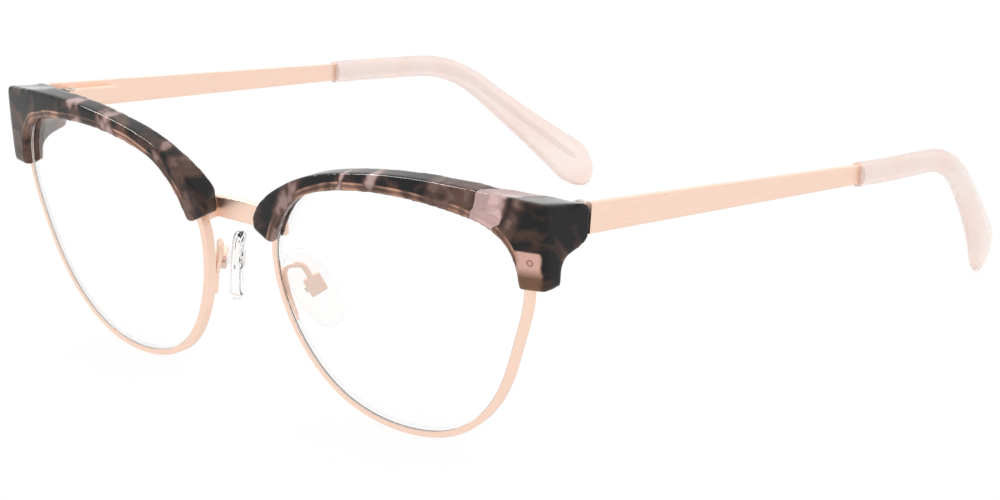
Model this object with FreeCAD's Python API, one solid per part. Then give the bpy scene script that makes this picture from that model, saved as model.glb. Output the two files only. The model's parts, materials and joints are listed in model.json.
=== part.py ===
import FreeCAD, Part
import math
import os

# Browline glasses: acetate brows over metal rims, a metal bridge, sprung hinges,
# flat metal temples with acetate tips, and silicone nose pads. Millimetres.
# Built with the lenses upright: +X towards the wearer's left, +Y from the front
# back along the temples, +Z up, and Z = 0 at the middle of the lens box.
# At the end the whole part is laid on a table, on its rims and its temple tips.

Vector = FreeCAD.Vector
X_AXIS = Vector(1, 0, 0)
Y_AXIS = Vector(0, 1, 0)
Z_AXIS = Vector(0, 0, 1)
ORIGIN = Vector(0, 0, 0)

# Front: boxed lens, bridge and curvature
LENS_WIDTH = 50.0
LENS_HEIGHT = 42.0
BRIDGE_GAP = 17.0
END_REACH = 4.75
BASE_RADIUS = 146.0
BASE_VERTEX_X = 2.3
BASE_VERTEX_Z = 6.6
WRAP_ANGLE = 6.5
PANTOSCOPIC_ANGLE = 12.1

# Lens outline as fractions of the lens box, from the nasal side round the bottom
LENS_SHAPE = [
    (-0.500, 0.125), (-0.446, -0.180), (-0.288, -0.412), (-0.050, -0.500), (0.172, -0.457),
    (0.352, -0.272), (0.452, -0.017), (0.499, 0.230), (0.448, 0.386), (0.280, 0.471),
    (0.046, 0.500), (-0.200, 0.476), (-0.370, 0.398), (-0.456, 0.275),
]
OUTLINE_STEPS = 28
OUTLINE_SAMPLES = 1120
TOUCH = 0.01
MESH_STEP = 0.05
EDGE_SAMPLES = (0.1, 0.5, 0.9)

# Rim wire with its lens groove, split and closing block
RIM_WIDTH = 1.1
RIM_DEPTH = 1.5
GROOVE_DEPTH = 0.4
GROOVE_WIDTH = 0.9
SPLIT_SHARE = 0.238
SPLIT_GAP = 0.2
BLOCK_REACH = 3.3
BLOCK_ABOVE = 4.2
BLOCK_BELOW = 1.4
RIM_SCREW_RADIUS = 0.5
RIM_SCREW_OFFSET = 2.0
RIM_SCREW_DEPTH = 1.9
RIM_HEAD_RADIUS = 0.7
RIM_HEAD_HEIGHT = 0.5

# Lens
LENS_THICKNESS = 1.4
LENS_BEVEL_WIDTH = 0.7
LENS_CLEARANCE = 0.05

# Brow
BROW_FRONT_WALL = 1.1
BROW_FRONT_RADIUS = 200.0
BROW_REAR_WALL = 0.8
BROW_LIP = 0.35
BROW_CLEARANCE = 0.05
BROW_NASAL_SHARE = (-0.560, 0.233)
BROW_NASAL_INNER_SHARE = (-0.353, 0.113)
BROW_NASAL_SLANT = 26.0
BROW_NASAL_EDGE = 0.4
BROW_NASAL_ROUND = 1.0
BROW_LEG_SHARE = (0.250, 0.190)
BROW_END_SHARE = 0.521
BROW_END_RAKE = 13.0
BROW_OVERRUN = 2.25
# Upper edge from the nasal end towards the temporal corner, as fractions of the lens box,
# with the angle at which the top slopes down to the rear there
BROW_TOP = [
    (-0.560, 0.261, 5.0), (-0.547, 0.304, 5.0), (-0.512, 0.354, 5.0), (-0.442, 0.414, 4.0),
    (-0.320, 0.483, 4.0), (-0.118, 0.538, 3.0), (0.092, 0.559, 3.0), (0.284, 0.553, 3.0),
    (0.350, 0.548, 5.0), (0.415, 0.542, 14.0), (0.476, 0.536, 17.0),
]
BROW_CORNER_RADIUS = 0.8
BROW_SCREW_RADIUS = 0.45
BROW_SCREW_HEAD_RADIUS = 0.85
BROW_SCREW_HEAD = 0.4
BROW_SCREW_TIP = 0.5
BROW_SCREW_HEIGHT = 3.0

# End piece behind the brow's temporal corner, in plan and from the side
END_REAR_WIDTH = 6.0
END_SLANT_WIDTH = 5.8
END_SLANT_DEPTH = 8.8
END_SLANT_BULGE = 0.4
END_FLARE = 5.0
END_ROUND = 1.3
END_ROUND_START = 0.9
END_ROUND_TURN = 60.0
LEG_WIDTH = 6.05
# Rear of the end piece and leg: steps ahead of its rear face and below the temple's middle line
END_CURVE = [(0.0, 2.65), (1.3, 4.0), (3.3, 5.3), (4.5, 8.5)]

# Hinge: pin, knuckles and the shank set in the end piece
PIVOT_INSET = 3.95
PIVOT_Y = 15.4
PIVOT_SHARE = 0.393
PIN_RADIUS = 0.5
PIN_CLEARANCE = 0.03
PIN_HEAD_RADIUS = 0.9
PIN_HEAD_HEIGHT = 0.3
PIN_SLOT_WIDTH = 0.3
KNUCKLE_RADIUS = 1.2
TONGUE_KNUCKLE = 1.0
FRONT_KNUCKLE = 0.95
KNUCKLE_GAP = 0.05
HINGE_SETBACK = 2.2
SHANK_LENGTH = 4.2
SHANK_PROUD = 0.8
SHANK_CLEARANCE = 0.02

# Spring case on the temple, with tongue, collar and spring
CASE_START = 1.5
CASE_LENGTH = 10.8
CASE_HEIGHT = 2.8
CASE_THICKNESS = 2.3
CASE_EDGE_RADIUS = 0.35
BORE_RADIUS = 0.8
BORE_LENGTH = 9.6
ROD_RADIUS = 0.4
ROD_LENGTH = 9.2
ROD_CLEARANCE = 0.04
NECK_HEIGHT = 0.9
NECK_FRONT = -0.5
NECK_REAR = 1.3
TONGUE_HEAD_RADIUS = 0.72
TONGUE_HEAD_LENGTH = 0.8
COLLAR_LENGTH = 2.0
COLLAR_FLOOR = 0.3
SPRING_TURNS = 6
SPRING_STEPS = 16
SPRING_WIRE = 0.22
SPRING_RADIUS = 0.58
SPRING_SLACK = 0.03

# Temple bar, its core wire and the acetate tip
TEMPLE_LENGTH = 147.8
BAR_THICKNESS = 1.2
BAR_FRONT_HEIGHT = 4.8
BAR_REAR_HEIGHT = 3.2
BAR_FRONT_GAP = 0.15
BAR_EDGE_RADIUS = 0.25
BAR_LENGTH = 71.9
EAR_BEND_AT = 102.3
EAR_BEND_ANGLE = 33.8
EAR_BEND_RADIUS = 29.0
INWARD_RADIUS = 208.0
INWARD_LEAD = 23.5
CORE_FRONT_HEIGHT = 2.1
CORE_REAR_HEIGHT = 1.2
CORE_THICKNESS = 0.9
CORE_END_GAP = 6.0
CORE_CLEARANCE = 0.03
TIP_HEIGHT = 4.25
TIP_THICKNESS = 3.2
TIP_END_THICKNESS = 3.0
PADDLE_HEIGHT = 9.3
PADDLE_DROP = 1.1
PADDLE_ROUND = 6.8
PADDLE_SPREAD = 2.2
TIP_GAP = 0.05
TIP_STEPS = 28
CORE_STEPS = 18
PADDLE_END_STEPS = 7

# Bridge
BRIDGE_HEIGHT = 3.35
BRIDGE_THICKNESS = 1.0
BRIDGE_LOW_SHARE = 0.189
BRIDGE_ARCH = 0.5
BRIDGE_FRONT = 1.75
BRIDGE_EDGE = 0.2
BRIDGE_TAB = 1.6
BRIDGE_TAB_FRONT = 0.15
BRIDGE_TAB_CLEARANCE = 0.15

# Nose pads, their arms and boxes
PAD_OUTSET = 2.7
PAD_Y = 5.2
PAD_SHARE = -0.026
PAD_SPLAY = 35.0
PAD_LEAN_IN = 23.7
PAD_LEAN_FRONT = 13.0
PAD_LENGTH = 14.4
PAD_WIDTH = 6.9
PAD_THICKNESS = 2.2
PAD_ROUND = 0.95
PAD_END_SHARE = 0.76
PAD_DROP = 1.0
PAD_SHIFT = 0.6
PAD_STANDOFF = 1.5
PAD_CORE_LENGTH = 9.0
PAD_CORE_WIDTH = 4.0
PAD_CORE_THICKNESS = 0.6
PAD_BOX_WIDTH = 2.9
PAD_BOX_HEIGHT = 3.0
PAD_BOX_DEPTH = 1.9
PAD_BOX_WALL = 0.35
PAD_BOX_ROUND = 0.3
PAD_LUG_WIDTH = 1.6
PAD_LUG_HEIGHT = 1.4
PAD_LUG_REACH = 0.55
PAD_SCREW_RADIUS = 0.35
PAD_SCREW_CLEARANCE = 0.05
PAD_SCREW_HEAD_RADIUS = 0.6
PAD_SCREW_HEAD = 0.4
ARM_RADIUS = 0.5
ARM_BEND = 1.35
ARM_RISE = 2.4
ARM_SETBACK = 0.9
FOOT_LOW_SHARE = -0.143
FOOT_HIGH_SHARE = -0.045
FOOT_THICKNESS = 0.6

# Values that several pieces share
THROUGH = 40.0
HALF_RIM = RIM_WIDTH / 2
HALF_DEPTH = RIM_DEPTH / 2
LENS_CENTRE_X = (LENS_WIDTH + BRIDGE_GAP) / 2
SIDE_X = LENS_WIDTH + BRIDGE_GAP / 2 + END_REACH
SPLIT_HEIGHT = SPLIT_SHARE * LENS_HEIGHT
BRIDGE_LOW = BRIDGE_LOW_SHARE * LENS_HEIGHT
FOOT_LOW = FOOT_LOW_SHARE * LENS_HEIGHT
FOOT_HIGH = FOOT_HIGH_SHARE * LENS_HEIGHT
PIVOT_X = SIDE_X - PIVOT_INSET
BROW_FRONT = -(HALF_DEPTH + BROW_CLEARANCE + BROW_FRONT_WALL)
BROW_REAR = HALF_DEPTH + BROW_CLEARANCE + BROW_REAR_WALL
BAR_INNER_X = SIDE_X - BAR_THICKNESS
BAR_START = -(HINGE_SETBACK - BAR_FRONT_GAP)
BAR_END = BAR_START + BAR_LENGTH
CASE_X = BAR_INNER_X - CASE_THICKNESS / 2
KNUCKLE_TOP = TONGUE_KNUCKLE / 2 + KNUCKLE_GAP + FRONT_KNUCKLE
PIVOT = Vector(PIVOT_X, PIVOT_Y, PIVOT_SHARE * LENS_HEIGHT)
PAD_CENTRE = Vector(BRIDGE_GAP / 2 + PAD_OUTSET, PAD_Y, PAD_SHARE * LENS_HEIGHT)
LENS_PLACE = FreeCAD.Placement(Vector(LENS_CENTRE_X, 0, 0), FreeCAD.Rotation(Z_AXIS, WRAP_ANGLE))
HINGE_PLACE = FreeCAD.Placement(PIVOT, FreeCAD.Rotation())
TEMPLE_PLACE = FreeCAD.Placement(PIVOT, FreeCAD.Rotation(X_AXIS, -PANTOSCOPIC_ANGLE))


def box(low, high):
    """Box between two corners."""
    return Part.makeBox(high[0] - low[0], high[1] - low[1], high[2] - low[2], Vector(*low))


def cylinder(radius, start, axis, length):
    """Solid round bar from a start point along an axis."""
    return Part.makeCylinder(radius, length, start, axis)


def placed(shape, placement):
    """Shape moved from a local frame into the frame of the front."""
    moved = shape.copy()
    moved.Placement = placement.multiply(moved.Placement)
    return moved


def polygon_prism(points, direction):
    """Prism on a closed polygon."""
    return Part.Face(Part.makePolygon(points + points[:1])).extrude(direction)


def closed_face(edges, corners):
    """Face inside some edges and the straight lines that close them."""
    lines = [Part.makeLine(first, second) for first, second in zip(corners[:-1], corners[1:])]
    return Part.Face(Part.Wire(edges + lines))


# Lens frame: X temporal, Z up from the lens box's centre, Y back

def lens_point(share):
    """Point of the front view, from its fractions of the lens box."""
    return Vector(share[0] * LENS_WIDTH, 0, share[1] * LENS_HEIGHT)


def base_outline():
    """Closed curve along the middle of the rim wire."""
    curve = Part.BSplineCurve()
    curve.interpolate([lens_point(share) for share in LENS_SHAPE], PeriodicFlag=True)
    return curve


def outline_points(offset, count):
    """Points along the rim's middle line, moved outwards by an offset."""
    curve = base_outline()
    start = curve.FirstParameter
    step = (curve.LastParameter - start) / count
    points = []
    for index in range(count):
        parameter = start + step * index
        tangent = curve.tangent(parameter)[0]
        outward = Vector(tangent.z, 0, -tangent.x)
        points.append(curve.value(parameter) + outward * offset)
    return points


def outline_prism(offset):
    """Prism through the front on the rim's outline, moved outwards by an offset."""
    curve = Part.BSplineCurve()
    curve.interpolate(outline_points(offset, OUTLINE_STEPS), PeriodicFlag=True)
    face = Part.Face(Part.Wire(curve.toShape()))
    face.translate(Vector(0, -THROUGH, 0))
    return face.extrude(Vector(0, 2 * THROUGH, 0))


def temporal_x(height):
    """Largest X of the rim's middle line near a height."""
    samples = outline_points(0, OUTLINE_SAMPLES)
    near = [point for point in samples if abs(point.z - height) < HALF_RIM]
    return max(point.x for point in near)


def base_ball(depth):
    """Ball whose front follows the lens base curve at a depth behind the rim's middle."""
    centre = Vector(BASE_VERTEX_X, BASE_RADIUS, BASE_VERTEX_Z)
    return Part.makeSphere(BASE_RADIUS - depth, centre, Z_AXIS)


def brow_ball():
    """Ball whose front is the brow's front face, flatter than the lens."""
    centre = Vector(BASE_VERTEX_X, BROW_FRONT + BROW_FRONT_RADIUS, BASE_VERTEX_Z)
    return Part.makeSphere(BROW_FRONT_RADIUS, centre, Z_AXIS)


def brow_front_depth(x, z):
    """Y of the brow's front face at a point of the lens frame."""
    run = (x - BASE_VERTEX_X) ** 2 + (z - BASE_VERTEX_Z) ** 2
    return BROW_FRONT + BROW_FRONT_RADIUS - math.sqrt(BROW_FRONT_RADIUS ** 2 - run)


def base_depth(x, z):
    """Y of the base curve at a point of the lens frame."""
    run = (x - BASE_VERTEX_X) ** 2 + (z - BASE_VERTEX_Z) ** 2
    return BASE_RADIUS - math.sqrt(BASE_RADIUS ** 2 - run)


def between(shape, front, back):
    """Layer of a shape between two depths along the base curve."""
    return shape.common(base_ball(front)).cut(base_ball(back))


def view_box(low_x, high_x, low_z, high_z):
    """Box right through the front in the lens frame."""
    return box((low_x, -THROUGH, low_z), (high_x, THROUGH, high_z))


def block_view(margin):
    """Front view of the rim's closing block, grown by a margin."""
    edge = temporal_x(SPLIT_HEIGHT)
    low = SPLIT_HEIGHT - BLOCK_BELOW - margin
    high = SPLIT_HEIGHT + BLOCK_ABOVE + margin
    return view_box(edge - margin, edge + BLOCK_REACH + margin, low, high)


def rim_screw_place():
    """Middle of the split on the rim screw's axis."""
    x = temporal_x(SPLIT_HEIGHT) + RIM_SCREW_OFFSET
    return Vector(x, base_depth(x, SPLIT_HEIGHT), SPLIT_HEIGHT)


def brow_screw_place():
    """Point on the brow screw's axis in the middle of the rim's depth."""
    x = temporal_x(SPLIT_HEIGHT) + RIM_SCREW_OFFSET
    z = SPLIT_HEIGHT + BROW_SCREW_HEIGHT
    return Vector(x, base_depth(x, z), z)


def make_rim_screw(growth):
    """Screw that closes the rim's split, its shank grown for its hole."""
    centre = rim_screw_place()
    low = centre - Z_AXIS * BLOCK_BELOW
    shank = cylinder(RIM_SCREW_RADIUS + growth, low, Z_AXIS, BLOCK_BELOW + RIM_SCREW_DEPTH)
    head = cylinder(RIM_HEAD_RADIUS, low - Z_AXIS * RIM_HEAD_HEIGHT, Z_AXIS, RIM_HEAD_HEIGHT)
    return shank.fuse(head).removeSplitter()


def make_brow_screw(growth):
    """Screw from behind, through the rear wall and the block into the front wall."""
    centre = brow_screw_place()
    front = HALF_DEPTH + BROW_CLEARANCE + BROW_SCREW_TIP
    rear = BROW_REAR - BROW_SCREW_HEAD
    shank = cylinder(BROW_SCREW_RADIUS + growth, centre - Y_AXIS * front, Y_AXIS, front + rear)
    head_start = centre + Y_AXIS * rear
    head = cylinder(BROW_SCREW_HEAD_RADIUS + growth, head_start, Y_AXIS, BROW_SCREW_HEAD + growth)
    return shank.fuse(head).removeSplitter()


def make_rim():
    """Rim wire with its lens groove, its split and the closing block."""
    ring = outline_prism(HALF_RIM).fuse(block_view(0)).cut(outline_prism(-HALF_RIM))
    rim = between(ring, -HALF_DEPTH, HALF_DEPTH)
    groove = between(outline_prism(GROOVE_DEPTH - HALF_RIM), -GROOVE_WIDTH / 2, GROOVE_WIDTH / 2)
    rim = rim.cut(groove)
    gap_low = SPLIT_HEIGHT - SPLIT_GAP / 2
    rim = rim.cut(view_box(0, LENS_WIDTH, gap_low, gap_low + SPLIT_GAP))
    rim = rim.cut(make_rim_screw(BROW_CLEARANCE))
    return rim.cut(make_brow_screw(BROW_CLEARANCE))


def make_lens():
    """Clear lens with a bevelled ridge that sits in the rim's groove."""
    body = outline_prism(-HALF_RIM - LENS_CLEARANCE)
    body = between(body, -LENS_THICKNESS / 2, LENS_THICKNESS / 2)
    ridge = outline_prism(GROOVE_DEPTH - HALF_RIM - LENS_CLEARANCE)
    ridge = between(ridge, -LENS_BEVEL_WIDTH / 2, LENS_BEVEL_WIDTH / 2)
    return body.fuse(ridge).removeSplitter()


def straight_back():
    """Direction from the front to the rear, in the lens frame."""
    return FreeCAD.Rotation(Z_AXIS, -WRAP_ANGLE).multVec(Y_AXIS)


def brow_upper():
    """Space below the brow's top, which slopes to the rear by an angle that varies along it."""
    corner = Vector(SIDE_X - LENS_CENTRE_X + BROW_OVERRUN, 0, BROW_END_SHARE * LENS_HEIGHT)
    points = [lens_point(row) for row in BROW_TOP] + [corner]
    slopes = [math.tan(math.radians(row[2])) for row in BROW_TOP]
    slopes.append(math.tan(math.radians(BROW_END_RAKE)))
    runs = [0.0]
    for first, second in zip(points[:-1], points[1:]):
        runs.append(runs[-1] + first.distanceToPoint(second))
    wires = []
    for depth in (-THROUGH, THROUGH):
        away = straight_back() * depth
        line = [point + away - Z_AXIS * (depth * slope) for point, slope in zip(points, slopes)]
        top = Part.BSplineCurve()
        top.interpolate(Points=line, Parameters=runs)
        low_end = Vector(line[-1].x, line[-1].y, -2 * THROUGH)
        low_start = Vector(line[0].x, line[0].y, -2 * THROUGH)
        closing = Part.makePolygon([line[-1], low_end, low_start, line[0]])
        wires.append(Part.Wire([top.toShape()] + closing.Edges))
    return Part.makeLoft(wires, True, True)


def brow_blank():
    """Brow's front view drawn back: raked along its top, level along its lower ends."""
    nasal_outer = lens_point(BROW_NASAL_SHARE)
    nasal_inner = lens_point(BROW_NASAL_INNER_SHARE)
    leg_inner = lens_point(BROW_LEG_SHARE)
    leg_outer = Vector(THROUGH, 0, leg_inner.z)
    far_out = nasal_outer + (nasal_outer - nasal_inner)
    above = [Vector(THROUGH, 0, THROUGH), Vector(far_out.x, 0, THROUGH)]
    lower = Part.Face(Part.makePolygon([far_out, nasal_inner, leg_inner, leg_outer] + above + [far_out]))
    lower.translate(straight_back() * -THROUGH)
    return brow_upper().common(lower.extrude(straight_back() * (2 * THROUGH)))


def flare_x(y):
    """X of the end piece's side, which narrows from its rear to the front."""
    rear = PIVOT_Y - HINGE_SETBACK
    return SIDE_X - (rear - y) * math.tan(math.radians(END_FLARE))


def beyond_side():
    """Space outside the end piece's side, in the frame of the front."""
    rear = PIVOT_Y - HINGE_SETBACK
    corners = [Vector(flare_x(-THROUGH), -THROUGH, -THROUGH), Vector(SIDE_X, rear, -THROUGH)]
    corners += [Vector(SIDE_X, THROUGH, -THROUGH), Vector(SIDE_X + THROUGH, THROUGH, -THROUGH)]
    corners.append(Vector(SIDE_X + THROUGH, -THROUGH, -THROUGH))
    return polygon_prism(corners, Z_AXIS * (2 * THROUGH))


def end_piece_plan():
    """Space of the end piece in plan, in the frame of the front."""
    rear = PIVOT_Y - HINGE_SETBACK
    low = -THROUGH
    slant_start = Vector(SIDE_X - END_REAR_WIDTH, rear, low)
    slant_end = slant_start - Vector(END_SLANT_WIDTH, END_SLANT_DEPTH, 0)
    across = Vector(-END_SLANT_DEPTH, END_SLANT_WIDTH, 0).normalize()
    bulge = (slant_start + slant_end) / 2 + across * END_SLANT_BULGE
    corners = [
        slant_end,
        Vector(slant_end.x, -THROUGH, low),
        Vector(SIDE_X, -THROUGH, low),
        Vector(SIDE_X, THROUGH, low),
        Vector(slant_start.x, THROUGH, low),
        slant_start,
    ]
    slant = Part.Arc(slant_start, bulge, slant_end).toShape()
    return closed_face([slant], corners).extrude(Z_AXIS * (2 * THROUGH))


def end_piece_profile():
    """Space of the end piece and leg from the side, in the frame of the front."""
    points = [Vector(0, -HINGE_SETBACK - ahead, -below) for ahead, below in END_CURVE]
    waist = points[-1]
    side_curve = Part.BSplineCurve()
    side_curve.interpolate(points)
    centre = Vector(0, -HINGE_SETBACK - END_ROUND, END_ROUND_START)
    turned = []
    for share in (1.0, 0.5, 0.0):
        angle = math.radians(END_ROUND_TURN * share)
        turned.append(centre + Vector(0, math.cos(angle), math.sin(angle)) * END_ROUND)
    upper_round = Part.Arc(*turned).toShape()
    turn = math.radians(END_ROUND_TURN)
    above = turned[0] + Vector(0, -math.sin(turn), math.cos(turn)) * (2 * THROUGH)
    corners = [waist, Vector(0, waist.y, -THROUGH), Vector(0, above.y, -THROUGH), above, turned[0]]
    rear_line = Part.makeLine(turned[-1], points[0])
    side = closed_face([upper_round, rear_line, side_curve.toShape()], corners)
    side.translate(X_AXIS * -THROUGH)
    return placed(side.extrude(X_AXIS * (2 * THROUGH)), TEMPLE_PLACE)


def shank_room(growth):
    """Hinge shank in the end piece, grown for its pocket."""
    wide = KNUCKLE_RADIUS + growth
    tall = KNUCKLE_TOP + growth
    start = -HINGE_SETBACK - SHANK_LENGTH - growth
    return box((-wide, start, -tall), (wide, SHANK_PROUD - HINGE_SETBACK, tall))


def bridge_tab_view(growth):
    """Front view of the bridge's tab beside the rim, in the frame of the front."""
    reach = bridge_reach()
    low = BRIDGE_LOW - growth
    high = BRIDGE_LOW + BRIDGE_HEIGHT + growth
    view = box((reach - BRIDGE_TAB - growth, -THROUGH, low), (reach + RIM_WIDTH, THROUGH, high))
    return view.cut(placed(outline_prism(HALF_RIM), LENS_PLACE))


def bridge_reach():
    """X of the bridge's end, at the outer edge of the rim wire beside it."""
    middle = BRIDGE_LOW + BRIDGE_HEIGHT / 2
    samples = outline_points(0, OUTLINE_SAMPLES)
    near = [point for point in samples if abs(point.z - middle) < HALF_RIM]
    nasal = min(point.x for point in near)
    return LENS_CENTRE_X + (nasal - HALF_RIM) * math.cos(math.radians(WRAP_ANGLE))


def make_brow():
    """Acetate brow with its rim slot, end piece and hinge pocket."""
    inverse = LENS_PLACE.inverse()
    blank = brow_blank().common(brow_ball()).cut(placed(beyond_side(), inverse))
    blank = blank.makeFillet(BROW_CORNER_RADIUS, edges_where(blank, on_front_corner))
    profile = end_piece_profile()
    room = placed(end_piece_plan().common(profile), inverse)
    brow = blank.cut(base_ball(BROW_REAR).cut(room))
    leg_side = box((SIDE_X - LEG_WIDTH, -THROUGH, -THROUGH), (SIDE_X, THROUGH, THROUGH))
    brow = brow.cut(placed(leg_side.cut(profile), inverse)).cut(nasal_trim())
    brow = brow.cut(outline_prism(-HALF_RIM - BROW_LIP))
    brow = brow.makeFillet(BROW_NASAL_ROUND, [nasal_low_edge(brow)])
    slot = outline_prism(HALF_RIM + BROW_CLEARANCE).fuse(block_view(BROW_CLEARANCE))
    below = temporal_x(SPLIT_HEIGHT)
    slot = slot.fuse(view_box(below, below + BLOCK_REACH, 0, SPLIT_HEIGHT))
    edge = HALF_DEPTH + BROW_CLEARANCE
    brow = brow.cut(between(slot, -edge, edge))
    brow = brow.cut(make_brow_screw(BROW_CLEARANCE))
    pocket = placed(shank_room(SHANK_CLEARANCE), HINGE_PLACE)
    notch = bridge_tab_view(BRIDGE_TAB_CLEARANCE)
    notch = placed(notch, inverse).common(base_ball(0))
    brow = brow.cut(placed(pocket, inverse)).cut(notch)
    return max(brow.Solids, key=lambda solid: solid.Volume)


def nasal_trim():
    """Space behind the slanted face at the brow's nasal end, in the lens frame."""
    nasal = lens_point(BROW_NASAL_SHARE)
    depth = brow_front_depth(nasal.x, nasal.z) + BROW_NASAL_EDGE
    start = Vector(nasal.x, depth, -THROUGH)
    slant = math.radians(BROW_NASAL_SLANT)
    far = start + Vector(math.sin(slant), math.cos(slant), 0) * THROUGH
    side = [start, far, Vector(start.x - THROUGH, far.y, -THROUGH), start - X_AXIS * THROUGH]
    return polygon_prism(side, Z_AXIS * (2 * THROUGH))


def nasal_low_edge(brow):
    """Edge from front to rear along the lowest corner of the brow's nasal end."""
    nasal = [vertex for vertex in brow.Vertexes if vertex.X < 0]
    lowest = min(nasal, key=lambda vertex: vertex.Z)
    touching = []
    for edge in brow.Edges:
        if any(vertex.isSame(lowest) for vertex in edge.Vertexes):
            touching.append(edge)
    return max(touching, key=lambda edge: edge.BoundBox.YLength)


def edges_where(shape, test):
    """Edges of a shape in the lens frame whose sample points all pass a test."""
    found = []
    for edge in shape.Edges:
        spread = edge.LastParameter - edge.FirstParameter
        points = [edge.valueAt(edge.FirstParameter + spread * share) for share in EDGE_SAMPLES]
        if all(test(point) for point in points):
            found.append(edge)
    return found


def on_front_corner(point):
    """Whether a point of the lens frame lies where the brow's front turns into its side."""
    side = LENS_PLACE.multVec(point)
    ahead = point.y - brow_front_depth(point.x, point.z)
    return abs(side.x - flare_x(side.y)) < TOUCH and abs(ahead) < TOUCH


# Bridge

def make_bridge():
    """Arched bar behind both brows, with a tab against the outer edge of each rim."""
    reach = bridge_reach()
    high = BRIDGE_LOW + BRIDGE_HEIGHT
    front = BRIDGE_FRONT
    low_left = Vector(-reach, front, BRIDGE_LOW)
    low_right = Vector(reach, front, BRIDGE_LOW)
    top_left = Vector(-reach, front, high)
    top_right = Vector(reach, front, high)
    crown = Vector(0, front, high + BRIDGE_ARCH)
    top = Part.Arc(top_right, crown, top_left).toShape()
    edges = [Part.makeLine(low_left, low_right), Part.makeLine(low_right, top_right)]
    edges += [top, Part.makeLine(top_left, low_left)]
    bar = Part.Face(Part.Wire(edges)).extrude(Y_AXIS * BRIDGE_THICKNESS)
    long_edges = [edge for edge in bar.Edges if edge.Length > reach]
    bar = bar.makeFillet(BRIDGE_EDGE, long_edges)
    tab = bridge_tab_view(0).common(placed(base_ball(BRIDGE_TAB_FRONT), LENS_PLACE))
    layer_end = BRIDGE_FRONT + BRIDGE_THICKNESS / 2
    tab = tab.common(box((0, -THROUGH, -THROUGH), (THROUGH, layer_end, THROUGH)))
    return bar.fuse(tab).fuse(tab.mirror(ORIGIN, X_AXIS)).removeSplitter()


# Nose pads

def pad_placement():
    """Frame of a nose pad: X across, Y along it upwards, Z towards the nose."""
    splay = math.radians(PAD_SPLAY)
    inwards = math.tan(math.radians(PAD_LEAN_IN))
    forwards = math.tan(math.radians(PAD_LEAN_FRONT))
    level = Vector(-math.cos(splay), math.sin(splay), 0)
    along = Vector(-inwards, -forwards, 1).normalize()
    towards = (level - along * level.dot(along)).normalize()
    across = along.cross(towards)
    turn = FreeCAD.Rotation(across, along, towards, "ZXY")
    return FreeCAD.Placement(PAD_CENTRE, turn)


def oval_plate(length, width, low, thickness):
    """Oval plate across the pad's frame, of four tangent arcs, centred on the pad."""
    half_width = width / 2
    end_radius = half_width * PAD_END_SHARE
    end_centre = length / 2 - end_radius
    side_radius = (end_centre ** 2 + half_width ** 2 - end_radius ** 2) / (2 * (half_width - end_radius))
    reach = side_radius - end_radius
    turn_x = end_radius * (side_radius - half_width) / reach
    turn_y = end_centre + end_radius * end_centre / reach
    corners = [(turn_x, -turn_y), (turn_x, turn_y), (-turn_x, turn_y), (-turn_x, -turn_y)]
    middles = [(half_width, 0), (0, length / 2), (-half_width, 0), (0, -length / 2)]
    edges = []
    for index, middle in enumerate(middles):
        first = Vector(*corners[index])
        last = Vector(*corners[(index + 1) % len(corners)])
        edges.append(Part.Arc(first, Vector(*middle), last).toShape())
    face = Part.Face(Part.Wire(edges))
    face.translate(Vector(PAD_SHIFT, -PAD_DROP, low))
    return face.extrude(Z_AXIS * thickness)


def make_pad_core():
    """Stiff plate inside the pad, with the lug that sits in the arm's box."""
    low = PAD_STANDOFF + (PAD_THICKNESS - PAD_CORE_THICKNESS) / 2
    plate = oval_plate(PAD_CORE_LENGTH, PAD_CORE_WIDTH, low, PAD_CORE_THICKNESS)
    wide = PAD_LUG_WIDTH / 2
    tall = PAD_LUG_HEIGHT / 2
    lug = box((-wide, -tall, -PAD_LUG_REACH), (wide, tall, low + PAD_CORE_THICKNESS / 2))
    core = plate.fuse(lug).removeSplitter()
    hole = cylinder(PAD_SCREW_RADIUS + PAD_SCREW_CLEARANCE, X_AXIS * -wide, X_AXIS, 2 * wide)
    return placed(core.cut(hole), pad_placement())


def make_nose_pad():
    """Soft oval pad moulded round its core."""
    pad = oval_plate(PAD_LENGTH, PAD_WIDTH, PAD_STANDOFF, PAD_THICKNESS)
    uprights = [edge for edge in pad.Edges if abs(edge.Length - PAD_THICKNESS) < TOUCH]
    rims = [edge for edge in pad.Edges if not any(edge.isSame(other) for other in uprights)]
    pad = placed(pad.makeFillet(PAD_ROUND, rims), pad_placement())
    return pad.cut(make_pad_core())


def make_pad_screw(growth):
    """Small screw across the arm's box."""
    half = PAD_BOX_WIDTH / 2
    shank = cylinder(PAD_SCREW_RADIUS + growth, X_AXIS * -half, X_AXIS, 2 * half)
    head = cylinder(PAD_SCREW_HEAD_RADIUS, X_AXIS * half, X_AXIS, PAD_SCREW_HEAD)
    return placed(shank.fuse(head).removeSplitter(), pad_placement())


def bent_rod(points, radius, bend):
    """Round rod along straight runs joined by tangent arcs."""
    edges = []
    at = points[0]
    for before, corner, after in zip(points[:-2], points[1:-1], points[2:]):
        back = (before - corner).normalize()
        ahead = (after - corner).normalize()
        half = back.getAngle(ahead) / 2
        run = bend / math.tan(half)
        middle = (back + ahead).normalize()
        centre = corner + middle * (bend / math.sin(half))
        first = corner + back * run
        last = corner + ahead * run
        edges.append(Part.makeLine(at, first))
        edges.append(Part.Arc(first, centre - middle * bend, last).toShape())
        at = last
    edges.append(Part.makeLine(at, points[-1]))
    path = Part.Wire(edges)
    start = points[0]
    profile = Part.Wire(Part.Circle(start, points[1] - start, radius).toShape())
    return path.makePipeShell([profile], True, False)


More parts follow.
